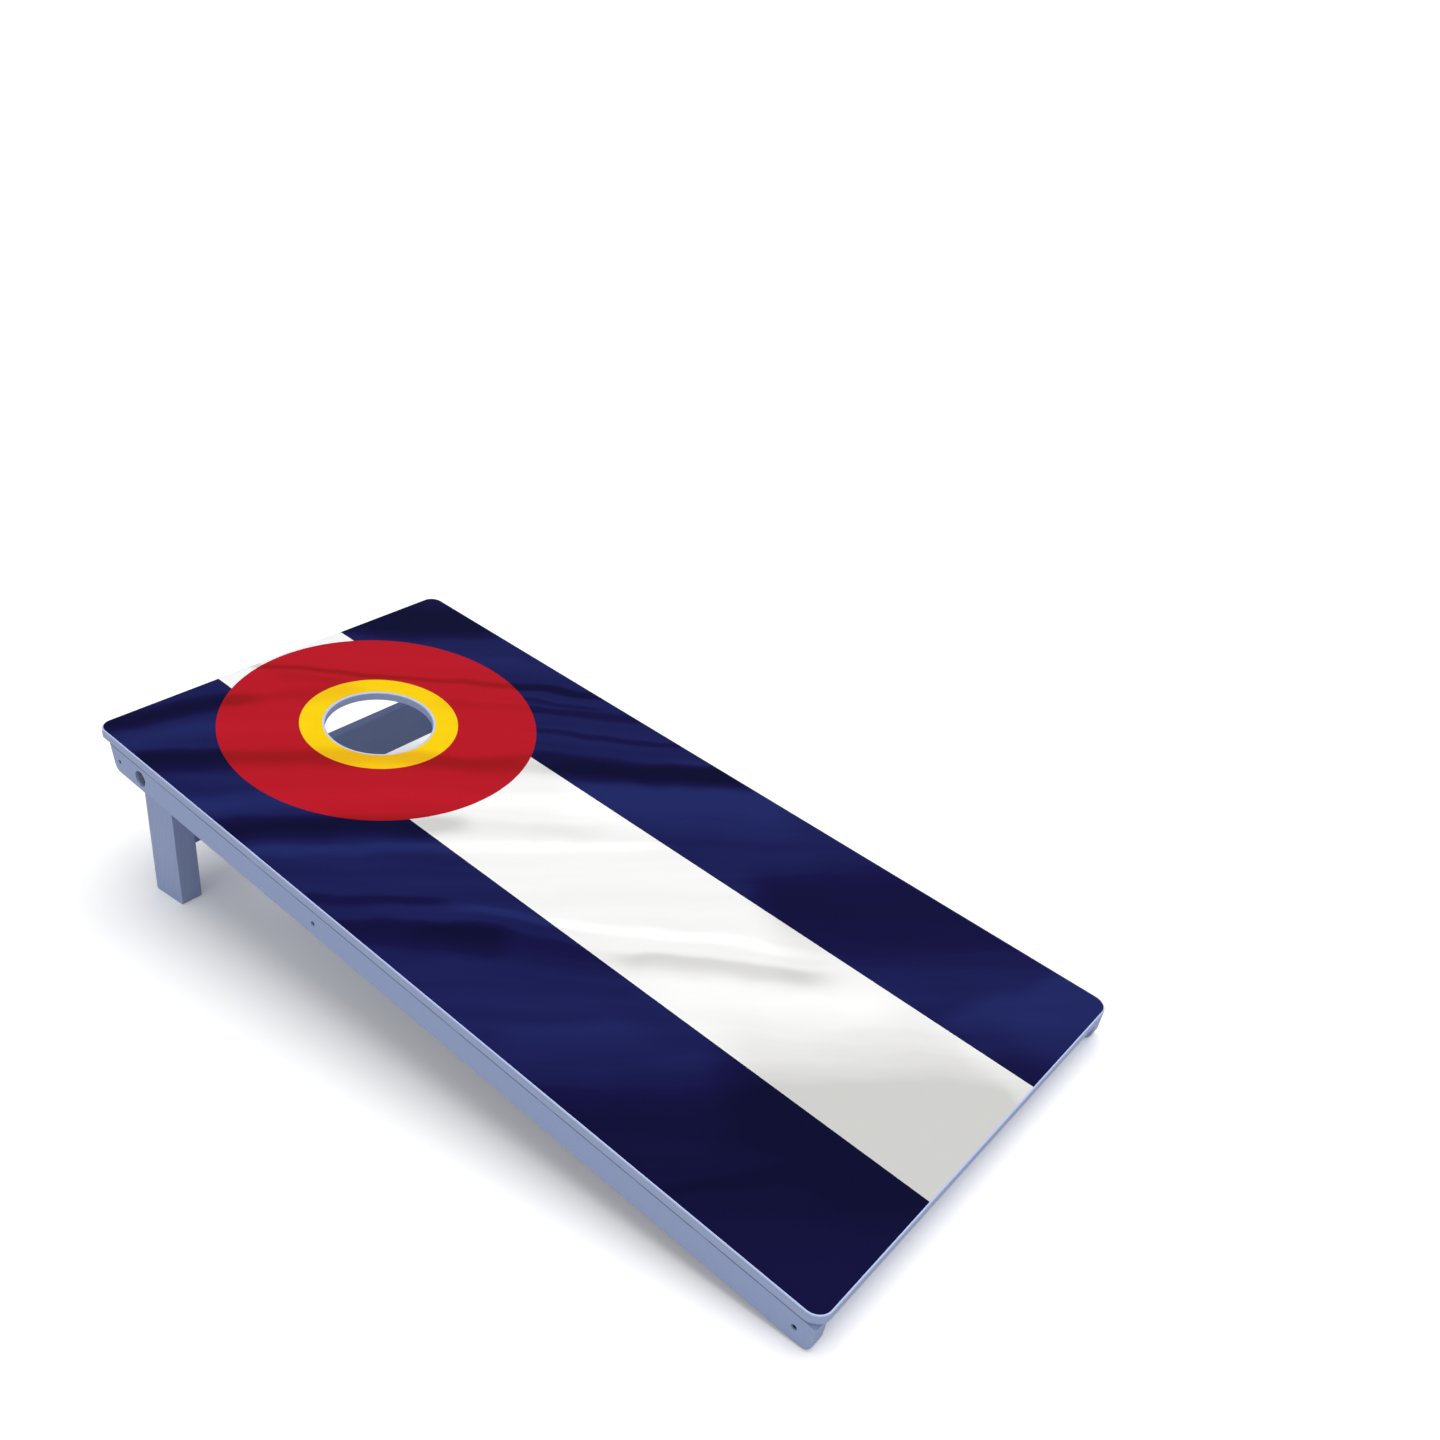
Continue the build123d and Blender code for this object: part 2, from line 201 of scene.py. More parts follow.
# The fine skin a foam roller leaves in paint, with a few larger soft blisters in it.
roller_skin, given, result = new_group(
    "roller skin",
    [("Place", "Vector", (0, 0, 0)), ("Pimple Size", "Float", 0.0016)],
    [("Height", "Float")],
)
pimple_scale = maths(roller_skin, "DIVIDE", 1.0, given["Pimple Size"])
blister_scale = maths(roller_skin, "DIVIDE", 0.18, given["Pimple Size"])
pimples = noise(roller_skin, given["Place"], pimple_scale, 2.0, 0.6)
blisters = noise(roller_skin, given["Place"], blister_scale, 1.0)
wire(roller_skin, maths(roller_skin, "MULTIPLY_ADD", blisters, 0.8, pimples), result["Height"])

# Outer edges where handling rubs the finish: strongest on the arris, broken up along it.
rubbed_edge, given, result = new_group(
    "rubbed edge",
    [("Place", "Vector", (0, 0, 0)), ("Reach", "Float", 0.004), ("Amount", "Float", 0.5)],
    [("Rub", "Float")],
)
buried = rubbed_edge.nodes.new("ShaderNodeAmbientOcclusion")
buried.inside = True
buried.only_local = True
buried.samples = 6
wire(rubbed_edge, given["Reach"], buried.inputs["Distance"])
near_edge = ramped(rubbed_edge, buried.outputs["AO"], 0.86, 0.45)
patches = ramped(rubbed_edge, noise(rubbed_edge, given["Place"], 70.0, 4.0, 0.6), 0.34, 0.62)
rub = maths(rubbed_edge, "MULTIPLY", near_edge, patches)
wire(rubbed_edge, maths(rubbed_edge, "MULTIPLY", rub, given["Amount"]), result["Rub"])

# Dust and light scuffs from grass and storage: cloudy, with fine short scratches through it.
handling_marks, given, result = new_group(
    "handling marks",
    [("Place", "Vector", (0, 0, 0)), ("Cloud Size", "Float", 0.12), ("Amount", "Float", 0.3)],
    [("Dust", "Float"), ("Scuffs", "Float")],
)
cloud_scale = maths(handling_marks, "DIVIDE", 1.0, given["Cloud Size"])
clouds = noise(handling_marks, given["Place"], cloud_scale, 5.0, 0.62)
cloudy = ramped(handling_marks, clouds, 0.42, 0.74)
wire(handling_marks, maths(handling_marks, "MULTIPLY", cloudy, given["Amount"]), result["Dust"])
slanting = vectors(handling_marks, "MULTIPLY", given["Place"], (0.12, 1.0, 1.0))
hairs = ramped(handling_marks, noise(handling_marks, slanting, 240.0, 3.0, 0.7), 0.63, 0.76)
wire(handling_marks, maths(handling_marks, "MULTIPLY", hairs, given["Amount"]), result["Scuffs"])

# Where two painted boards meet: a thin dark line at one height across a board, painted shade in the gap
# and caught dirt.
joint_line, given, result = new_group(
    "joint line",
    [("Place", "Vector", (0, 0, 0)), ("Height", "Float", 0.0), ("Width", "Float", 0.001)],
    [("Line", "Float")],
)
line_parts = joint_line.nodes.new("ShaderNodeSeparateXYZ")
wire(joint_line, given["Place"], line_parts.inputs[0])
from_joint = maths(joint_line, "SUBTRACT", line_parts.outputs[1], given["Height"])
off_joint = maths(joint_line, "ABSOLUTE", from_joint)
full_width = maths(joint_line, "MULTIPLY", given["Width"], 0.4)
thin_shade_and_dirt = ramped(joint_line, off_joint, full_width, given["Width"], 1.0, 0.0)
broken = ramped(joint_line, noise(joint_line, given["Place"], 34.0, 3.0), 0.25, 0.55, 0.55, 1.0)
wire(joint_line, maths(joint_line, "MULTIPLY", thin_shade_and_dirt, broken), result["Line"])


def painted_wood(name, along, across, colour, grain_depth=0.5, rub=0.5, dust=0.25, joint_at=None):
    """Satin paint on wood whose grain runs along the first direction given."""
    paint, tree, shader = new_material(name)
    place = use_group(tree, lay_out, Corner=DECK_CORNER, Along=along, Across=across)["Place"]
    grain = use_group(tree, wood_grain, Place=place, Ring_Width=0.0062, Waver=0.6)
    skin = use_group(tree, roller_skin, Place=place, Pimple_Size=0.0016)["Height"]
    worn = use_group(tree, rubbed_edge, Place=place, Reach=0.0035, Amount=rub)["Rub"]
    marks = use_group(tree, handling_marks, Place=place, Cloud_Size=0.14, Amount=dust)
    deeper = tinted(colour, 0.92, 0.935, 0.96)
    edge = tinted(colour, 1.22, 1.20, 1.14)
    dusty = (colour[0] * 0.92 + 0.04, colour[1] * 0.92 + 0.035, colour[2] * 0.86 + 0.03, 1)
    bands = maths(tree, "MULTIPLY_ADD", grain["Fibres"], 0.5, maths(tree, "MULTIPLY", grain["Rings"], 0.5))
    body = mixed(tree, bands, (*colour, 1), deeper)
    body = mixed(tree, marks["Dust"], body, dusty)
    body = mixed(tree, worn, body, edge)
    # A thin dark line where the deck meets the rail: painted shade in the gap, and dirt.
    if joint_at is not None:
        meeting = use_group(tree, joint_line, Place=place, Height=joint_at, Width=0.0018)["Line"]
        body = mixed(tree, meeting, body, tinted(colour, 0.42, 0.42, 0.46))
    wire(tree, body, shader.inputs["Base Color"])
    sheen = maths(tree, "MULTIPLY_ADD", skin, 0.10, 0.33)
    sheen = maths(tree, "MULTIPLY_ADD", marks["Dust"], 0.25, sheen)
    sheen = maths(tree, "MULTIPLY_ADD", marks["Scuffs"], 0.30, sheen)
    wire(tree, maths(tree, "MULTIPLY_ADD", worn, 0.12, sheen), shader.inputs["Roughness"])
    raised = maths(tree, "MULTIPLY", grain["Rings"], grain_depth * 0.35)
    raised = maths(tree, "MULTIPLY_ADD", grain["Fibres"], grain_depth, raised)
    raised = maths(tree, "MULTIPLY_ADD", skin, 0.55, raised)
    bumped(tree, shader, raised, 0.60, 0.00028)
    shader.inputs["Specular IOR Level"].default_value = 0.42
    return paint


def finish_node(name, material):
    frame["nodes"][name].material_slots[0].material = material


PALE_BLUE_GREY = (0.470, 0.570, 0.90)
rail_paint = painted_wood("rail_paint", UP_BOARD, OFF_DECK, PALE_BLUE_GREY, 0.5, joint_at=-DECK_THICK)
finish_node("side_rail_left", rail_paint)
finish_node("side_rail_right", rail_paint)


# ---- Cross boards -------------------------------------------------------------------------------
# A front apron, a centre brace and a rear apron of the same pine, set on edge between the rails.
# Their grain runs across the board. They are painted with the frame, inside and out.

apron_paint = painted_wood("apron_paint", ACROSS_BOARD, OFF_DECK, PALE_BLUE_GREY, 0.6)
finish_node("front_apron", apron_paint)
finish_node("centre_brace", apron_paint)
finish_node("rear_apron", apron_paint)


# ---- Rail screws --------------------------------------------------------------------------------
# Six long wood screws, two into each cross board, sunk in drilled recesses in the rails' faces.
# Hardened steel with a black oxide finish, a low round head and a crossed drive.


def spun(shape, seat, outward, rows, count, close):
    """Rings about a line through seat, one for each row of (height, radius), joined by faces.

    A row may be a function of the angle, for a shape that isn't round. The last ring is joined
    to the first when close is "loop", and both are capped when it is "ends".
    """
    sideways = outward.cross(OFF_DECK)
    rings = []
    for row in rows:
        ring = []
        for step in range(count):
            angle = 2 * math.pi * step / count
            height, radius = row(angle) if callable(row) else row
            spoke = OFF_DECK * math.cos(angle) + sideways * math.sin(angle)
            ring.append(shape.verts.new(seat + outward * height + spoke * radius))
        rings.append(ring)
    pairs = list(zip(rings, rings[1:]))
    if close == "loop":
        pairs.append((rings[-1], rings[0]))
    for inner, outer in pairs:
        for step in range(count):
            after = (step + 1) % count
            shape.faces.new((inner[step], inner[after], outer[after], outer[step]))
    if close == "ends":
        for ring, turn in ((rings[0], -1), (rings[-1], 1)):
            shape.faces.new(ring[::turn])
    return rings


ROWS_A_TURN = 6
RIDGE_SLOPE = 3.2


def threads(start, end, core, crest, pitch):
    """Rows of a screw thread from height start down to height end, fading in and out."""
    rows = []
    steps = round((start - end) / pitch * ROWS_A_TURN)
    for step in range(steps + 1):
        height = start + (end - start) * step / steps
        fade = min(1.0, step / ROWS_A_TURN, (steps - step) / ROWS_A_TURN)

        def row(angle, height=height, fade=fade):
            turn = (height / pitch - angle / (2 * math.pi)) % 1.0
            ridge = max(0.0, 1.0 - abs(turn - 0.5) * RIDGE_SLOPE)
            return height, core + (crest - core) * ridge * fade

        rows.append(row)
    return rows


SHARP_ANGLE = 32


def fit_piece(name, shape, finishes, body, slot, *stands_for):
    """Turn a drawn shape into a named piece that rides on a body and stands for CAD nodes."""
    bmesh.ops.recalc_face_normals(shape, faces=shape.faces)
    mesh = bpy.data.meshes.new(name)
    shape.to_mesh(mesh)
    shape.free()
    for finish in finishes:
        mesh.materials.append(finish)
    for face in mesh.polygons:
        face.use_smooth = True
    mesh.set_sharp_from_angle(angle=math.radians(SHARP_ANGLE))
    piece = bpy.data.objects.new(name, mesh)
    bpy.context.scene.collection.objects.link(piece)
    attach(piece, body)
    if stands_for:
        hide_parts(*stands_for)
    return piece


# Turned metal: fine rings left by tools round the pivot or screw line, with pitting between them.
tool_rings, given, result = new_group(
    "tool rings",
    [("Place", "Vector", (0, 0, 0)), ("Ring Width", "Float", 0.0002), ("Pitting", "Float", 0.4)],
    [("Height", "Float"), ("Stain", "Float")],
)
flattened = vectors(tool_rings, "MULTIPLY", given["Place"], (0.0, 1.0, 1.0))
round_line = maths(tool_rings, "DIVIDE", vectors(tool_rings, "LENGTH", flattened), given["Ring Width"])
rings_cut = noise(tool_rings, round_line, 1.0, 2.0)
pits = noise(tool_rings, given["Place"], 2600.0, 3.0, 0.6)
wire(tool_rings, maths(tool_rings, "MULTIPLY_ADD", pits, given["Pitting"], rings_cut), result["Height"])
cloudy_stain = noise(tool_rings, given["Place"], 420.0, 4.0, 0.6)
wire(tool_rings, ramped(tool_rings, cloudy_stain, 0.38, 0.66), result["Stain"])


def plated_metal(name, centre, clean, stained, dullness, bare, rub):
    metal, tree, shader = new_material(name)
    place = use_group(tree, lay_out, Corner=centre, Along=ACROSS_BOARD, Across=OFF_DECK)["Place"]
    cut = use_group(tree, tool_rings, Place=place, Ring_Width=0.00022, Pitting=0.5)
    worn = use_group(tree, rubbed_edge, Place=place, Reach=0.0007, Amount=rub)["Rub"]
    plate = mixed(tree, cut["Stain"], (*clean, 1), (*stained, 1))
    wire(tree, mixed(tree, worn, plate, (*bare, 1)), shader.inputs["Base Color"])
    duller = maths(tree, "MULTIPLY_ADD", cut["Stain"], 0.16, dullness)
    wire(tree, maths(tree, "MULTIPLY_ADD", worn, -0.08, duller), shader.inputs["Roughness"])
    bumped(tree, shader, cut["Height"], 0.35, 0.00004)
    shader.inputs["Metallic"].default_value = 1.0
    return metal


OXIDE_BLACK = (0.055, 0.060, 0.070)
OXIDE_STAIN = (0.030, 0.032, 0.036)
BARE_STEEL = (0.35, 0.36, 0.38)
HEAD_RADIUS = 0.0031
HEAD_HEIGHT = 0.0022
HEAD_FALL = 0.62
HEAD_CURVE = 3.2
HEAD_EASE = 0.0003
DRIVE_REACH = 0.0020
DRIVE_WIDTH = 0.0009
DRIVE_DEPTH = 0.0009
DRIVE_TURN = 0.5
DRIVE_SIDE_SLOPE = 0.00018
DRIVE_END_SLOPE = 0.0006
HEAD_RINGS = 30
SCREW_SHANK = 0.0021
SCREW_CORE = 0.0015
SCREW_CREST = 0.00245
SCREW_PITCH = 0.0026


def round_head(radius):
    """A ring of a low dome whose middle has the crossed drive pressed into it."""

    def row(angle):
        dome = HEAD_HEIGHT * (1.0 - HEAD_FALL * (radius / HEAD_RADIUS) ** HEAD_CURVE)
        one = abs(radius * math.cos(angle + DRIVE_TURN))
        other = abs(radius * math.sin(angle + DRIVE_TURN))
        inside_width = (DRIVE_WIDTH / 2 - min(one, other)) / DRIVE_SIDE_SLOPE
        inside_reach = (DRIVE_REACH - max(one, other)) / DRIVE_END_SLOPE
        pressed = max(min(inside_width, inside_reach, 1.0), 0.0)
        return dome - DRIVE_DEPTH * pressed, radius

    return row


for board in ("front_apron", "brace", "rear_apron"):
    low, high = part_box(board + "_screws")
    middle = (low + high) / 2
    screws = bmesh.new()
    for outward in (Vector((-1, 0, 0)), Vector((1, 0, 0))):
        seat = middle + outward * ((high.x - low.x) / 2 - HEAD_HEIGHT)
        rows = [round_head(HEAD_RADIUS * step / HEAD_RINGS) for step in range(1, HEAD_RINGS)]
        rows += [(HEAD_HEIGHT * 0.30, HEAD_RADIUS), (HEAD_EASE, HEAD_RADIUS)]
        rows += [(0, HEAD_RADIUS - HEAD_EASE), (0, 0.0023), (-0.0005, SCREW_SHANK), (-0.016, SCREW_SHANK)]
        rows += threads(-0.017, -0.0445, SCREW_CORE, SCREW_CREST, SCREW_PITCH)
        rows += [(-0.0460, 0.0011), (-0.0473, 0.00015)]
        spun(screws, seat, outward, rows, 48, "ends")
    oxide_name = "black_oxide_" + board
    black_oxide = plated_metal(oxide_name, middle, OXIDE_BLACK, OXIDE_STAIN, 0.34, BARE_STEEL, 0.5)
    fit_piece("screws_" + board, screws, [black_oxide], "board", "dark_screw", board + "_screws")


# ---- Deck ---------------------------------------------------------------------------------------
# Half-inch plywood, 24 by 48 inches, with round corners, eased edges and a 6 inch hole. Its edges, underside and
# hole carry the frame's paint made lighter, as painted light on the deck, and it is held by countersunk screws.

# The frame's paint made lighter for the deck: painted light on its edges, underside and hole.
LIT_PALE_BLUE_GREY = (0.51, 0.605, 0.91)
lit_deck_paint = painted_wood("lit_deck_paint", UP_BOARD, ACROSS_BOARD, LIT_PALE_BLUE_GREY, 0.35, 0.6)
finish_node("deck_panel", lit_deck_paint)
deck_oxide = plated_metal("deck_screw_black", HOLE_TOP, OXIDE_BLACK, OXIDE_STAIN, 0.36, BARE_STEEL, 0.4)
finish_node("deck_screws", deck_oxide)


# ---- Printed face -------------------------------------------------------------------------------
# A thin film printed with a flag-like design and laminated to the deck, just short of its edges:
# navy with a white stripe up the middle, and a red and a gold ring about the hole. The inks show the
# soft slanting folds of cloth as it hangs, which are printed, and a darkening towards the front edge,
# which is painted shade. The film itself lies flat.

FILM_INSET = 0.0018
FILM_CORNER = 0.01725
FILM_THICK = 0.00025
FILM_ROUND = 0.00008
FILM_HOLE = 0.0797
FILM_HOLE_ROUND = 0.00010
GOLD_EDGE = 0.1115
RED_EDGE = 0.2240
STRIPE_LEFT = 0.1935
STRIPE_RIGHT = 0.4161
DECK_WIDTH = 0.6096
DECK_LENGTH = 1.2192
SPOKES = 288
CORNER_STEPS = 12


def on_deck(x, y, z):
    return DECK_CORNER + ACROSS_BOARD * x + UP_BOARD * y + OFF_DECK * z


def film_reach(angle, inset):
    """How far it is from the middle of the hole to the film's outline, which has round corners."""
    run, rise = math.cos(angle), math.sin(angle)
    corner = FILM_CORNER - (inset - FILM_INSET)
    side = (DECK_WIDTH - inset if run > 0 else inset) - HOLE_ACROSS
    end = (DECK_LENGTH - inset if rise > 0 else inset) - HOLE_UP
    reach = min(side / run, end / rise)
    centre_x = side - math.copysign(corner, run)
    centre_y = end - math.copysign(corner, rise)
    beyond_x = (reach * run - centre_x) * math.copysign(1, run)
    beyond_y = (reach * rise - centre_y) * math.copysign(1, rise)
    if beyond_x > 0 and beyond_y > 0:
        along = centre_x * run + centre_y * rise
        offset = centre_x**2 + centre_y**2 - corner**2
        reach = along + math.sqrt(max(along**2 - offset, 0.0))
    return reach


# No spoke lies square to an edge, and each round corner gets spokes of its own.
angles = [2 * math.pi * (step + 0.5) / SPOKES for step in range(SPOKES)]
for corner_x in (FILM_INSET + FILM_CORNER, DECK_WIDTH - FILM_INSET - FILM_CORNER):
    for corner_y in (FILM_INSET + FILM_CORNER, DECK_LENGTH - FILM_INSET - FILM_CORNER):
        facing = math.atan2(corner_y - DECK_LENGTH / 2, corner_x - DECK_WIDTH / 2)
        facing = math.radians(45 + 90 * math.floor(math.degrees(facing) / 90))
        for step in range(CORNER_STEPS + 1):
            swept = facing + math.radians(-45 + 90 / CORNER_STEPS * step)
            arc_x = corner_x + FILM_CORNER * math.cos(swept) - HOLE_ACROSS
            arc_y = corner_y + FILM_CORNER * math.sin(swept) - HOLE_UP
            angles.append(math.atan2(arc_y, arc_x) % (2 * math.pi))
angles = sorted(set(round(angle, 6) for angle in angles))
film = bmesh.new()
film_rings = []


def film_ring(reaches, height):
    """One ring of the film about the bag hole, with its own reach for each spoke."""
    ring = []
    for angle, reach in zip(angles, reaches):
        x = HOLE_ACROSS + reach * math.cos(angle)
        y = HOLE_UP + reach * math.sin(angle)
        ring.append(film.verts.new(on_deck(x, y, height)))
    film_rings.append(ring)


for radius, height in (
    (FILM_HOLE, 0.0),
    (FILM_HOLE, FILM_THICK - FILM_ROUND),
    (FILM_HOLE + FILM_HOLE_ROUND, FILM_THICK),
    (GOLD_EDGE, FILM_THICK),
    (RED_EDGE, FILM_THICK),
):
    film_ring([radius] * len(angles), height)
for inset, height in (
    (FILM_INSET + FILM_ROUND, FILM_THICK),
    (FILM_INSET, FILM_THICK - FILM_ROUND),
    (FILM_INSET, 0.0),
):
    film_ring([film_reach(angle, inset) for angle in angles], height)

# The inks by number, in the order the film's materials are given below.
GOLD, RED, NAVY, WHITE = range(4)
for number, (inner, outer) in enumerate(zip(film_rings, film_rings[1:])):
    for step in range(len(angles)):
        after = (step + 1) % len(angles)
        face = film.faces.new((inner[step], inner[after], outer[after], outer[step]))
        face.material_index = GOLD if number < 3 else RED if number == 3 else NAVY
for stripe_edge in (STRIPE_LEFT, STRIPE_RIGHT):
    field = [face for face in film.faces if face.material_index == NAVY]
    edges = list(dict.fromkeys(edge for face in field for edge in face.edges))
    corners = list(dict.fromkeys(corner for face in field for corner in face.verts))
    around = field + edges + corners
    cut_at = on_deck(stripe_edge, 0, 0)
    bmesh.ops.bisect_plane(film, geom=around, plane_co=cut_at, plane_no=ACROSS_BOARD, dist=1e-7)
for face in film.faces:
    middle_x = (face.calc_center_median() - DECK_CORNER).dot(ACROSS_BOARD)
    if face.material_index == NAVY and STRIPE_LEFT < middle_x < STRIPE_RIGHT:
        face.material_index = WHITE

# One soft band between two points on the deck, bowed sideways, with its own width above and below
# its crest, and ends that fade out. It draws both the printed folds and the painted shade at the front.
soft_fold, given, result = new_group(
    "soft fold",
    [
        ("Place", "Vector", (0, 0, 0)),
        ("Start", "Vector", (0, 0, 0)),
        ("End", "Vector", (1, 0, 0)),
        ("Bow", "Float", 0.0),
        ("Above", "Float", 0.03),
        ("Below", "Float", 0.03),
        ("Fade", "Float", 0.2),
        ("Depth", "Float", 0.3),
    ],
    [("Fold", "Float")],
)
run_of_fold = vectors(soft_fold, "SUBTRACT", given["End"], given["Start"])
from_start = vectors(soft_fold, "SUBTRACT", given["Place"], given["Start"])
fold_length = vectors(soft_fold, "LENGTH", run_of_fold)
direction = vectors(soft_fold, "NORMALIZE", run_of_fold)
gone = maths(soft_fold, "DIVIDE", vectors(soft_fold, "DOT_PRODUCT", from_start, direction), fold_length)
off_line = vectors(soft_fold, "CROSS_PRODUCT", direction, from_start)
sides = soft_fold.nodes.new("ShaderNodeSeparateXYZ")
wire(soft_fold, off_line, sides.inputs[0])
arch = maths(soft_fold, "MULTIPLY", gone, maths(soft_fold, "SUBTRACT", 1.0, gone))
arch = maths(soft_fold, "MULTIPLY", maths(soft_fold, "MULTIPLY", arch, 4.0), given["Bow"])
off_crest = maths(soft_fold, "SUBTRACT", sides.outputs[2], arch)
slope_above = ramped(soft_fold, off_crest, 0.0, given["Above"], 1.0, 0.0, "SMOOTHERSTEP")
under_crest = maths(soft_fold, "MULTIPLY", off_crest, -1.0)
slope_below = ramped(soft_fold, under_crest, 0.0, given["Below"], 1.0, 0.0, "SMOOTHERSTEP")
rise_in = ramped(soft_fold, gone, 0.0, given["Fade"])
fall_out = ramped(soft_fold, maths(soft_fold, "SUBTRACT", 1.0, gone), 0.0, given["Fade"])
across_fold = maths(soft_fold, "MULTIPLY", slope_above, slope_below)
along_fold = maths(soft_fold, "MULTIPLY", rise_in, fall_out)
fold = maths(soft_fold, "MULTIPLY", maths(soft_fold, "MULTIPLY", across_fold, along_fold), given["Depth"])
wire(soft_fold, fold, result["Fold"])

# Each fold in millimetres from the deck's left and front edges: start, end, bow, width above and
# below, fade, and depth. Bright crests have a depth above zero, and dark hollows one below it. The
# broad dark bands along the front edge are partly printed folds and partly painted shade.
FOLDS_AND_FRONT_SHADE = (
    ((-70, 1160), (690, 500), 34, 30, 46, 0.06, -0.66),
    ((400, 800), (690, 500), 4, 30, 44, 0.25, -0.34),
    ((-70, 970), (260, 730), 6, 32, 42, 0.16, -0.66),
    ((170, 800), (390, 612), 0, 26, 34, 0.25, -0.24),
    ((-70, 1232), (215, 1135), 10, 36, 34, 0.16, -0.66),
    ((140, 1172), (360, 1052), 6, 26, 40, 0.25, -0.34),
    ((215, 1250), (690, 758), 8, 15, 13, 0.06, -0.66),
    ((238, 1205), (360, 1075), 0, 10, 34, 0.30, -0.34),
    ((380, 1290), (740, 1000), 0, 130, 62, 0.06, -0.85),
    ((-60, 752), (150, 545), 0, 22, 60, 0.14, -0.44),
    ((40, 660), (235, 440), 0, 18, 60, 0.25, -0.26),
    ((190, 480), (398, 232), 5, 16, 38, 0.20, -0.60),
    ((-130, 400), (360, -30), 0, 110, 150, 0.05, -0.56),
    ((130, 262), (470, -110), 0, 170, 150, 0.14, -0.34),
    ((392, 400), (740, 150), 0, 110, 180, 0.16, -0.46),
    ((395, 1000), (650, 720), 0, 14, 20, 0.15, -0.34),
    ((430, 872), (650, 640), 0, 10, 12, 0.18, -0.30),
    ((470, 960), (600, 800), 0, 8, 14, 0.25, -0.22),
    ((-30, 782), (140, 640), 0, 15, 18, 0.20, -0.30),
    ((-20, 208), (200, 62), 0, 14, 18, 0.16, -0.24),
    ((10, 470), (170, 330), 0, 26, 40, 0.30, 0.16),
    ((-50, 1190), (240, 1042), 8, 28, 34, 0.14, 0.16),
    ((-50, 1020), (440, 640), 22, 30, 40, 0.10, 0.24),
    ((-50, 902), (430, 534), 8, 13, 20, 0.12, 0.28),
    ((100, 655), (420, 252), 10, 16, 14, 0.16, 0.30),
    ((380, 735), (650, 470), 0, 34, 110, 0.20, 0.34),
    ((380, 812), (640, 590), 0, 20, 16, 0.20, 0.26),
    ((300, 1215), (640, 900), 12, 60, 40, 0.12, 0.08),
    ((392, 128), (740, -10), 6, 30, 190, 0.14, 0.27),
    ((190, 420), (420, 150), 0, 46, 56, 0.20, 0.16),
    ((-80, 190), (300, -80), 0, 90, 340, 0.08, -0.44),
    ((100, 170), (500, 20), 0, 150, 240, 0.20, -0.20),
    ((120, 1170), (260, 1085), 0, 20, 20, 0.30, 0.14),
)
FLAT_SHADE = 0.72
PLEAT_SLANT = 43

# All the folds together, with the painted shade along the front edge, set a little out of true by a
# slow sway, with fine pleats between them.
cloth_and_front_shade, given, result = new_group(
    "cloth and front shade",
    [("Place", "Vector", (0, 0, 0)), ("Sway", "Float", 0.014), ("Fine Pleats", "Float", 0.2)],
    [("Shade", "Float"), ("Threads", "Float")],
)
sway = noise(cloth_and_front_shade, given["Place"], 6.5, 2.0, 0.5, "Color")
sway = scaled(cloth_and_front_shade, vectors(cloth_and_front_shade, "SUBTRACT", sway, (0.5, 0.5, 0.5)), given["Sway"])
swayed = vectors(cloth_and_front_shade, "ADD", given["Place"], scaled(cloth_and_front_shade, sway, 4.0))
on_film = vectors(cloth_and_front_shade, "MULTIPLY", swayed, (1, 1, 0))
shade = FLAT_SHADE
for start, end, bow, above, below, fade, depth in FOLDS_AND_FRONT_SHADE:
    fold = use_group(
        cloth_and_front_shade,
        soft_fold,
        Place=on_film,
        Start=(start[0] / 1000, start[1] / 1000, 0),
        End=(end[0] / 1000, end[1] / 1000, 0),
        Bow=bow / 1000,
        Above=above / 1000,
        Below=below / 1000,
        Fade=fade,
        Depth=depth,
    )["Fold"]
    shade = maths(cloth_and_front_shade, "ADD", fold, shade)
turned = cloth_and_front_shade.nodes.new("ShaderNodeVectorRotate")
turned.rotation_type = "Z_AXIS"
turned.inputs["Angle"].default_value = math.radians(PLEAT_SLANT)
wire(cloth_and_front_shade, swayed, turned.inputs["Vector"])
pleat_place = vectors(cloth_and_front_shade, "MULTIPLY", turned.outputs[0], (0.10, 1.0, 0.0))
pleats = maths(cloth_and_front_shade, "SUBTRACT", noise(cloth_and_front_shade, pleat_place, 34.0, 3.0, 0.55), 0.5)
shade = maths(cloth_and_front_shade, "ADD", shade, maths(cloth_and_front_shade, "MULTIPLY", pleats, given["Fine Pleats"]))
not_below_0 = maths(cloth_and_front_shade, "MAXIMUM", shade, 0.0)
wire(cloth_and_front_shade, maths(cloth_and_front_shade, "MINIMUM", not_below_0, 1.0), result["Shade"])
wire(cloth_and_front_shade, noise(cloth_and_front_shade, given["Place"], 1500.0, 2.0, 0.7), result["Threads"])


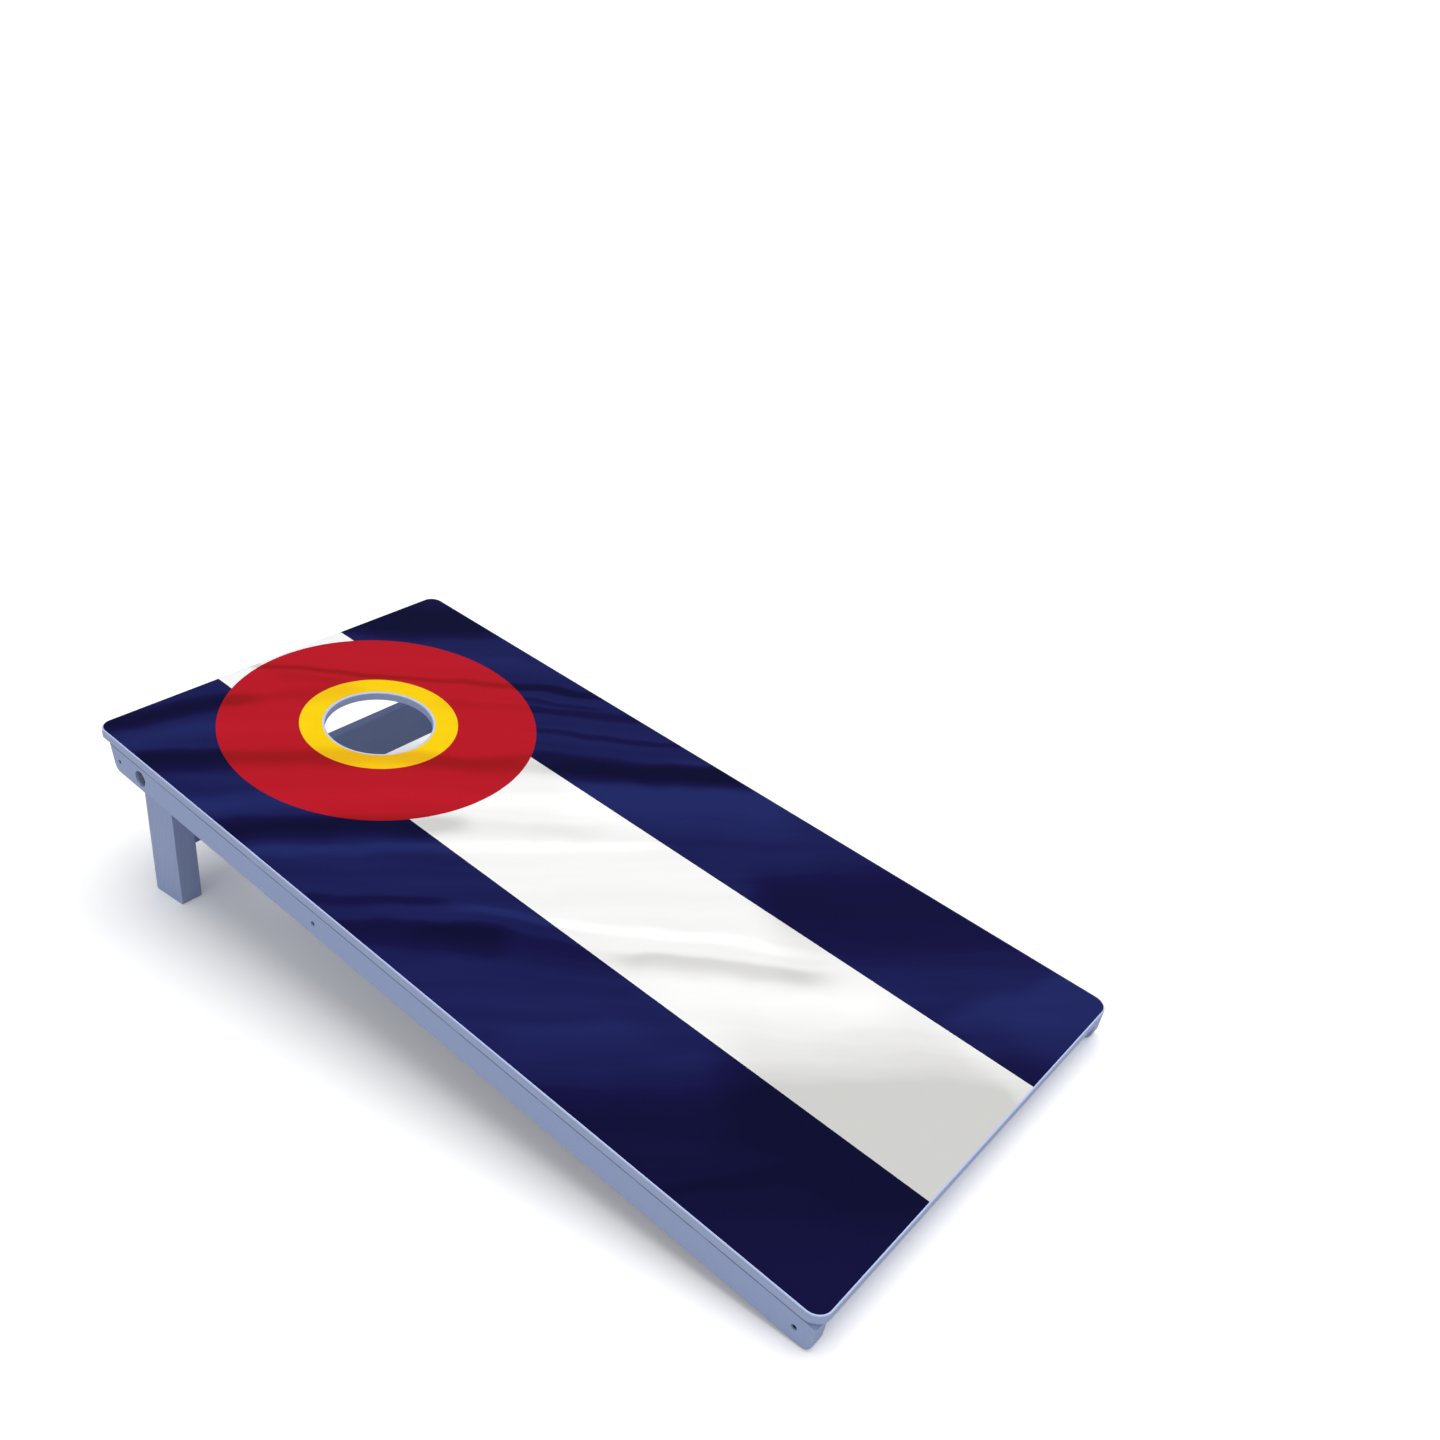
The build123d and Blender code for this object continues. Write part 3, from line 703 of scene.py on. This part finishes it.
def printed_ink(name, hollow, flat, crest):
    """One ink of the print, with its colours in a fold's hollow, on the flat and on a crest."""
    ink, tree, shader = new_material(name)
    place = use_group(tree, lay_out, Corner=DECK_CORNER, Along=ACROSS_BOARD, Across=UP_BOARD)["Place"]
    # Each ink follows the printed folds and the painted shade towards the front edge.
    cloth = use_group(tree, cloth_and_front_shade, Place=place, Sway=0.012, Fine_Pleats=0.32)
    skin = use_group(tree, roller_skin, Place=place, Pimple_Size=0.0011)["Height"]
    marks = use_group(tree, handling_marks, Place=place, Cloud_Size=0.20, Amount=0.12)
    tones = tree.nodes.new("ShaderNodeValToRGB")
    tones.color_ramp.elements[0].color = (*hollow, 1)
    tones.color_ramp.elements[1].color = (*crest, 1)
    tones.color_ramp.elements.new(0.5).color = (*flat, 1)
    woven = maths(tree, "SUBTRACT", cloth["Threads"], 0.5)
    grained = maths(tree, "MULTIPLY_ADD", woven, 0.08, cloth["Shade"])
    wire(tree, grained, tones.inputs[0])
    wire(tree, tones.outputs[0], shader.inputs["Base Color"])
    sheen = maths(tree, "MULTIPLY_ADD", skin, 0.07, 0.40)
    sheen = maths(tree, "MULTIPLY_ADD", marks["Dust"], 0.5, sheen)
    wire(tree, maths(tree, "MULTIPLY_ADD", marks["Scuffs"], 0.4, sheen), shader.inputs["Roughness"])
    bumped(tree, shader, skin, 0.30, 0.00008)
    shader.inputs["Specular IOR Level"].default_value = 0.03
    return ink


inks = [
    printed_ink("gold_ink", (0.76, 0.42, 0.006), (0.86, 0.54, 0.004), (0.96, 0.69, 0.003)),
    printed_ink("red_ink", (0.300, 0.0060, 0.0085), (0.425, 0.0070, 0.016), (0.480, 0.0080, 0.020)),
    printed_ink("navy_ink", (0.0018, 0.0022, 0.028), (0.0052, 0.0042, 0.054), (0.0125, 0.0190, 0.118)),
    printed_ink("white_ink", (0.590, 0.588, 0.575), (0.800, 0.797, 0.795), (0.955, 0.955, 0.955)),
]
fit_piece("printed_face", film, inks, "board", "printed_vinyl", "deck_graphic")


# ---- Legs ---------------------------------------------------------------------------------------
# Two legs of thicker pine, 63 by 32 mm, that turn on the pivot bolts, with a square rear corner that
# bears on the deck, a cut-back front corner, and a foot cut level with the ground. Their grain runs
# down the leg. Same paint, a little more worn.

hinge = frame["joints"][0]
PIVOT = Vector(hinge["pos_m"])
LEG_LEAN = math.radians(6.6)
DOWN_LEG = (UP_BOARD * math.sin(LEG_LEAN) - OFF_DECK * math.cos(LEG_LEAN)).normalized()
leg_paint = painted_wood("leg_paint", DOWN_LEG, ACROSS_BOARD, PALE_BLUE_GREY, 0.6, 0.8, 0.35)
finish_node("leg_left", leg_paint)
finish_node("leg_right", leg_paint)


# ---- Spreader and dowels ------------------------------------------------------------------------
# A flat pine board that ties the legs together, flush with their rear edges and painted like them.
# Two bare beech dowels, glued in, pin each end of it to its leg.

spreader_paint = painted_wood("spreader_paint", ACROSS_BOARD, DOWN_LEG, PALE_BLUE_GREY, 0.6, 0.7, 0.3)
finish_node("leg_spreader", spreader_paint)

beech, beech_tree, beech_shader = new_material("bare_beech")
beech_place = use_group(beech_tree, lay_out, Corner=PIVOT, Along=ACROSS_BOARD, Across=DOWN_LEG)["Place"]
beech_grain = use_group(beech_tree, wood_grain, Place=beech_place, Ring_Width=0.0016, Waver=0.4)
beech_colour = mixed(beech_tree, beech_grain["Rings"], (0.56, 0.37, 0.20, 1), (0.43, 0.26, 0.13, 1))
beech_flecks = ramped(beech_tree, beech_grain["Fibres"], 0.45, 0.75)
beech_colour = mixed(beech_tree, beech_flecks, beech_colour, (0.33, 0.19, 0.09, 1))
wire(beech_tree, beech_colour, beech_shader.inputs["Base Color"])
beech_dullness = maths(beech_tree, "MULTIPLY_ADD", beech_grain["Fibres"], 0.3, 0.5)
wire(beech_tree, beech_dullness, beech_shader.inputs["Roughness"])
bumped(beech_tree, beech_shader, beech_grain["Fibres"], 0.5, 0.0002)
finish_node("spreader_dowels", beech)


# ---- Pivot bolts --------------------------------------------------------------------------------
# An M8 bolt through each rail and leg, put in from outside, its domed hexagon head down in a bored
# recess on a flat washer. Zinc-plated steel with a cool tint, threaded at its inner end.

ZINC = (0.17, 0.21, 0.27)
ZINC_STAIN = (0.10, 0.13, 0.18)
ZINC_WORN = (0.36, 0.39, 0.44)
zinc_plate = plated_metal("zinc_plate", PIVOT, ZINC, ZINC_STAIN, 0.36, ZINC_WORN, 0.5)
FLATS = 0.013
HEAD_CROWN = 0.0053
DOME_RADIUS = 0.0216
SHANK_RADIUS = 0.0040
BOLT_CORE = 0.00340
BOLT_PITCH = 0.00125


def hexagon(angle, share=1.0):
    return share * FLATS / 2 / math.cos((angle % math.radians(60)) - math.radians(30))


def dome_height(radius):
    return HEAD_CROWN - DOME_RADIUS + math.sqrt(DOME_RADIUS**2 - radius**2)


def domed_hexagon(share, drop):
    return lambda angle: (dome_height(hexagon(angle, share)) - drop, hexagon(angle, share))


def straight_hexagon(height, share=1.0):
    return lambda angle: (height, hexagon(angle, share))


def outer_face(node, outward):
    low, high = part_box(node)
    return high.x if outward.x > 0 else low.x


def inner_face(node, outward):
    return outer_face(node, -outward)


SIDES = (("left", Vector((-1, 0, 0))), ("right", Vector((1, 0, 0))))
for side, outward in SIDES:
    tip = inner_face("pivot_bolt_" + side, outward)
    seat = Vector((outer_face("head_washer_" + side, outward), PIVOT.y, PIVOT.z))
    shank_end = -abs(seat.x - tip)
    rows = [(dome_height(0) - 0.00030, 0.0004), (dome_height(0) - 0.00028, 0.0021)]
    rows += [(dome_height(0.0026), 0.0026)]
    rows += [(dome_height(radius), radius) for radius in (0.0034, 0.0044, 0.0054)]
    rows += [domed_hexagon(0.90, 0.0), domed_hexagon(0.955, 0.00004), domed_hexagon(0.985, 0.00016)]
    rows += [domed_hexagon(1.0, 0.00042), straight_hexagon(0.0004), straight_hexagon(0.0, 0.97)]
    rows += [(0.0, 0.0050), (0.0, 0.0044)]
    rows += [(height, SHANK_RADIUS) for height in (-0.0004, -0.020, -0.040)]
    rows += threads(-0.0415, shank_end + 0.0012, BOLT_CORE, SHANK_RADIUS, BOLT_PITCH)
    rows += [(shank_end + 0.0005, 0.0033), (shank_end, 0.0029), (shank_end, 0.0006)]
    bolt = bmesh.new()
    spun(bolt, seat, outward, rows, 72, "ends")
    fit_piece("hex_bolt_" + side, bolt, [zinc_plate], "board", "zinc_steel", "pivot_bolt_" + side)


# ---- Washers and leg spacers --------------------------------------------------------------------
# Punched zinc-plated washers under each bolt head and nut: their top edge is rolled round by the
# punch and their lower edge is sharp. A moulded nylon disc keeps each leg off its rail.

WASHER_RADIUS = 0.0100
WASHER_BORE = 0.0042
for side, outward in SIDES:
    for place in ("head", "nut"):
        node = place + "_washer_" + side
        low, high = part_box(node)
        thick = high.x - low.x
        facing = outward if place == "head" else -outward
        seat = Vector((inner_face(node, facing), PIVOT.y, PIVOT.z))
        washer = bmesh.new()
        rows = [(0.0, WASHER_BORE), (0.0, WASHER_RADIUS - 0.0001), (0.0001, WASHER_RADIUS)]
        rows += [(thick - 0.00045, WASHER_RADIUS), (thick - 0.00018, WASHER_RADIUS - 0.0001)]
        rows += [(thick - 0.00004, WASHER_RADIUS - 0.0003), (thick, WASHER_RADIUS - 0.0006)]
        rows += [(thick, 0.0072), (thick, WASHER_BORE + 0.0005), (thick - 0.00012, WASHER_BORE + 0.00012)]
        rows += [(thick - 0.0004, WASHER_BORE)]
        spun(washer, seat, facing, rows, 72, "loop")
        fit_piece("plated_washer_" + place + "_" + side, washer, [zinc_plate], "board", "zinc_steel", node)

nylon, nylon_tree, nylon_shader = new_material("moulded_nylon")
nylon_place = use_group(nylon_tree, lay_out, Corner=PIVOT, Along=ACROSS_BOARD, Across=OFF_DECK)["Place"]
nylon_skin = use_group(nylon_tree, roller_skin, Place=nylon_place, Pimple_Size=0.0004)["Height"]
nylon_marks = use_group(nylon_tree, handling_marks, Place=nylon_place, Cloud_Size=0.006, Amount=0.6)
nylon_worn = use_group(nylon_tree, rubbed_edge, Place=nylon_place, Reach=0.0005, Amount=0.5)["Rub"]
nylon_colour = mixed(nylon_tree, nylon_marks["Dust"], (0.80, 0.80, 0.76, 1), (0.62, 0.61, 0.56, 1))
nylon_colour = mixed(nylon_tree, nylon_worn, nylon_colour, (0.90, 0.90, 0.88, 1))
wire(nylon_tree, nylon_colour, nylon_shader.inputs["Base Color"])
nylon_dullness = maths(nylon_tree, "MULTIPLY_ADD", nylon_marks["Scuffs"], 0.3, 0.38)
wire(nylon_tree, nylon_dullness, nylon_shader.inputs["Roughness"])
bumped(nylon_tree, nylon_shader, nylon_skin, 0.4, 0.00004)
nylon_shader.inputs["Subsurface Weight"].default_value = 0.12
nylon_shader.inputs["Subsurface Scale"].default_value = 0.002

SPACER_RADIUS = 0.0110
for side, outward in SIDES:
    node = "leg_spacer_" + side
    low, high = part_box(node)
    thick = high.x - low.x
    seat = Vector((inner_face(node, outward), PIVOT.y, PIVOT.z))
    spacer = bmesh.new()
    rows = [(0.00015, WASHER_BORE), (0.0, WASHER_BORE + 0.00015)]
    rows += [(0.0, 0.0068), (0.0002, 0.0070), (0.0002, 0.0078), (0.0, 0.0080)]
    rows += [(0.0, SPACER_RADIUS - 0.0003), (0.00012, SPACER_RADIUS - 0.0001), (0.00035, SPACER_RADIUS)]
    rows += [(thick - 0.00035, SPACER_RADIUS), (thick - 0.00012, SPACER_RADIUS - 0.0001)]
    rows += [(thick, SPACER_RADIUS - 0.0003), (thick, WASHER_BORE + 0.00015), (thick - 0.00015, WASHER_BORE)]
    spun(spacer, seat, outward, rows, 72, "loop")
    fit_piece("nylon_spacer_" + side, spacer, [nylon], "board", "nylon", node)


# ---- Lock nuts ----------------------------------------------------------------------------------
# A zinc-plated M8 lock nut on each bolt, inside its leg, with a nylon ring crimped under its rolled
# collar, so that the leg can be set stiff and still turn.

NUT_BORE = 0.00405
COLLAR_RADIUS = 0.00585
RING_BORE = 0.00402


def cornered_off(height, radius):
    return lambda angle: (height, min(hexagon(angle), radius))


for side, outward in SIDES:
    node = "lock_nut_" + side
    low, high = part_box(node)
    tall = high.x - low.x
    inward = -outward
    seat = Vector((outer_face(node, outward), PIVOT.y, PIVOT.z))
    nut = bmesh.new()
    rows = [(0.0005, NUT_BORE), (0.0, 0.0046), (0.0, 0.0060)]
    rows += [straight_hexagon(0.00045), straight_hexagon(0.0047)]
    rows += [cornered_off(0.0050, 0.0071), cornered_off(0.0054, 0.0065)]
    rows += [(0.0056, 0.0061), (0.0058, COLLAR_RADIUS), (tall - 0.0008, COLLAR_RADIUS)]
    rows += [(tall - 0.0003, COLLAR_RADIUS - 0.00015), (tall, 0.0053), (tall, 0.0049)]
    rows += [(tall - 0.0003, 0.0047), (tall - 0.0012, 0.0047), (tall - 0.0020, NUT_BORE)]
    spun(nut, seat, inward, rows, 72, "loop")
    fit_piece("hex_nut_" + side, nut, [zinc_plate], "board", "zinc_steel", node)
    ring = bmesh.new()
    rows = [(tall - 0.0019, RING_BORE), (tall - 0.0006, RING_BORE), (tall - 0.00035, 0.0042)]
    rows += [(tall - 0.00025, 0.0044), (tall - 0.00035, 0.0046), (tall - 0.0012, 0.0046)]
    spun(ring, seat, inward, rows, 48, "loop")
    fit_piece("nut_ring_" + side, ring, [nylon], "board", "nylon")


# ---- Floor, light and camera --------------------------------------------------------------------
# A wide white floor that runs out into a white room, a large soft light high over the board, a
# broad dim one low on the left, and a camera standing off the low left corner of the board. The
# floor gives back less light than it shows, which keeps the board's sides in shade.

FLOOR_REACH = 900
FLOOR_CORNERS = [(-1, -1), (1, -1), (1, 1), (-1, 1)]
FLOOR_IN_VIEW = (0.98, 0.98, 0.98, 1)
FLOOR_TO_LIGHT = (0.42, 0.42, 0.42, 1)
FLOOR_GLOW = (0.13, 0.13, 0.13, 1)
NO_GLOW = (0, 0, 0, 1)
floor_points = [(x * FLOOR_REACH, y * FLOOR_REACH, 0) for x, y in FLOOR_CORNERS]
floor_shape = bpy.data.meshes.new("floor")
floor_shape.from_pydata(floor_points, [], [(0, 1, 2, 3)])
floor_finish, floor_tree, floor_shader = new_material("floor_paint")
floor_seen = floor_tree.nodes.new("ShaderNodeLightPath").outputs["Is Camera Ray"]
floor_colour = mixed(floor_tree, floor_seen, FLOOR_TO_LIGHT, FLOOR_IN_VIEW)
wire(floor_tree, floor_colour, floor_shader.inputs["Base Color"])
floor_glow = mixed(floor_tree, floor_seen, NO_GLOW, FLOOR_GLOW)
wire(floor_tree, floor_glow, floor_shader.inputs["Emission Color"])
floor_shader.inputs["Emission Strength"].default_value = 1.0
floor_shader.inputs["Roughness"].default_value = 1.0
floor_shader.inputs["Specular IOR Level"].default_value = 0.0
floor_shape.materials.append(floor_finish)
floor = bpy.data.objects.new("floor", floor_shape)
bpy.context.scene.collection.objects.link(floor)

room = bpy.data.worlds.new("white room")
room.use_nodes = True
room_tree = room.node_tree
room_light = room_tree.nodes["Background"]
room_light.inputs["Color"].default_value = (0.975, 0.985, 1.0, 1)
room_light.inputs["Strength"].default_value = 0.40
room_wall = room_tree.nodes.new("ShaderNodeBackground")
room_wall.inputs["Color"].default_value = (1.0, 1.0, 1.0, 1)
room_mix = room_tree.nodes.new("ShaderNodeMixShader")
room_seen = room_tree.nodes.new("ShaderNodeLightPath").outputs["Is Camera Ray"]
wire(room_tree, room_seen, room_mix.inputs[0])
wire(room_tree, room_light.outputs[0], room_mix.inputs[1])
wire(room_tree, room_wall.outputs[0], room_mix.inputs[2])
wire(room_tree, room_mix.outputs[0], room_tree.nodes["World Output"].inputs["Surface"])
bpy.context.scene.world = room


def soft_light(name, place, breadth, power, colour):
    lamp = bpy.data.lights.new(name, "SUN")
    lamp.angle = math.radians(breadth)
    lamp.energy = power
    lamp.color = colour
    stand = bpy.data.objects.new(name, lamp)
    stand.location = place
    stand.rotation_euler = (-Vector(place)).to_track_quat("-Z", "Y").to_euler()
    bpy.context.scene.collection.objects.link(stand)


soft_light("high right light", (0.45, -0.40, 2.4), 62, 2.05, (1.0, 0.99, 0.975))
soft_light("low left light", (-2.2, -0.7, 0.9), 70, 0.42, (0.98, 0.99, 1.0))

CAMERA_DIP = 25.003
CAMERA_TURN = -48.231
CAMERA_ROLL = -0.169
camera = bpy.data.cameras.new("camera")
camera.sensor_width = 36.0
camera.lens = 35.742
camera.shift_x = 0.0694
camera.shift_y = -0.0417
camera.clip_start = 0.01
camera.clip_end = 3000.0
viewer = bpy.data.objects.new("camera", camera)
viewer.location = (-1.1189, -1.0844, 1.1523)
aim = Euler((math.radians(90 - CAMERA_DIP), 0.0, math.radians(CAMERA_TURN))).to_matrix()
roll = Matrix.Rotation(math.radians(CAMERA_ROLL), 3, "Z")
viewer.rotation_euler = (aim @ roll).to_euler()
bpy.context.scene.collection.objects.link(viewer)
bpy.context.scene.camera = viewer
bpy.context.scene.view_settings.view_transform = "Standard"

bpy.context.view_layer.update()
